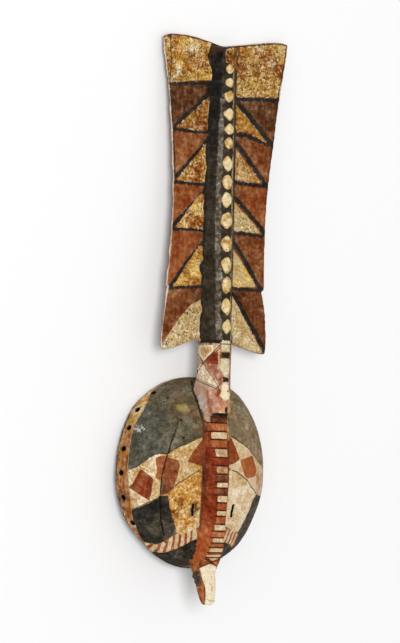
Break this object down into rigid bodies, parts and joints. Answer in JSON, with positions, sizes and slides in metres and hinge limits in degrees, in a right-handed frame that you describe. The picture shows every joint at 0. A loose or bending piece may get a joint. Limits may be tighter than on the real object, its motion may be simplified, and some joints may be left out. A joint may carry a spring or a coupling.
{
  "type": "carved wooden plank face mask",
  "caption": "Tall carved and painted wooden face mask: a hollow oval face with slit eyes, a toothed centre ridge and a small beak, under a flared plank with a lozenge ridge.",
  "frame": {"origin": "under the middle of the mask's box, on the ground that it lies on", "axes": "+Y up the mask towards the top of the plank, +Z out of the face, +X to the right of someone looking at the face; the back of the rim leans 6.2 degrees from the ground plane"},
  "size_m": [0.282, 0.9634, 0.1416],
  "materials": {
    "painted_wood": "matt mineral paint over carved light wood, worn: red ochre, yellowed white and charcoal black"
  },
  "bodies": {
    "root": {"mask": "painted_wood"}
  },
  "joints": []
}
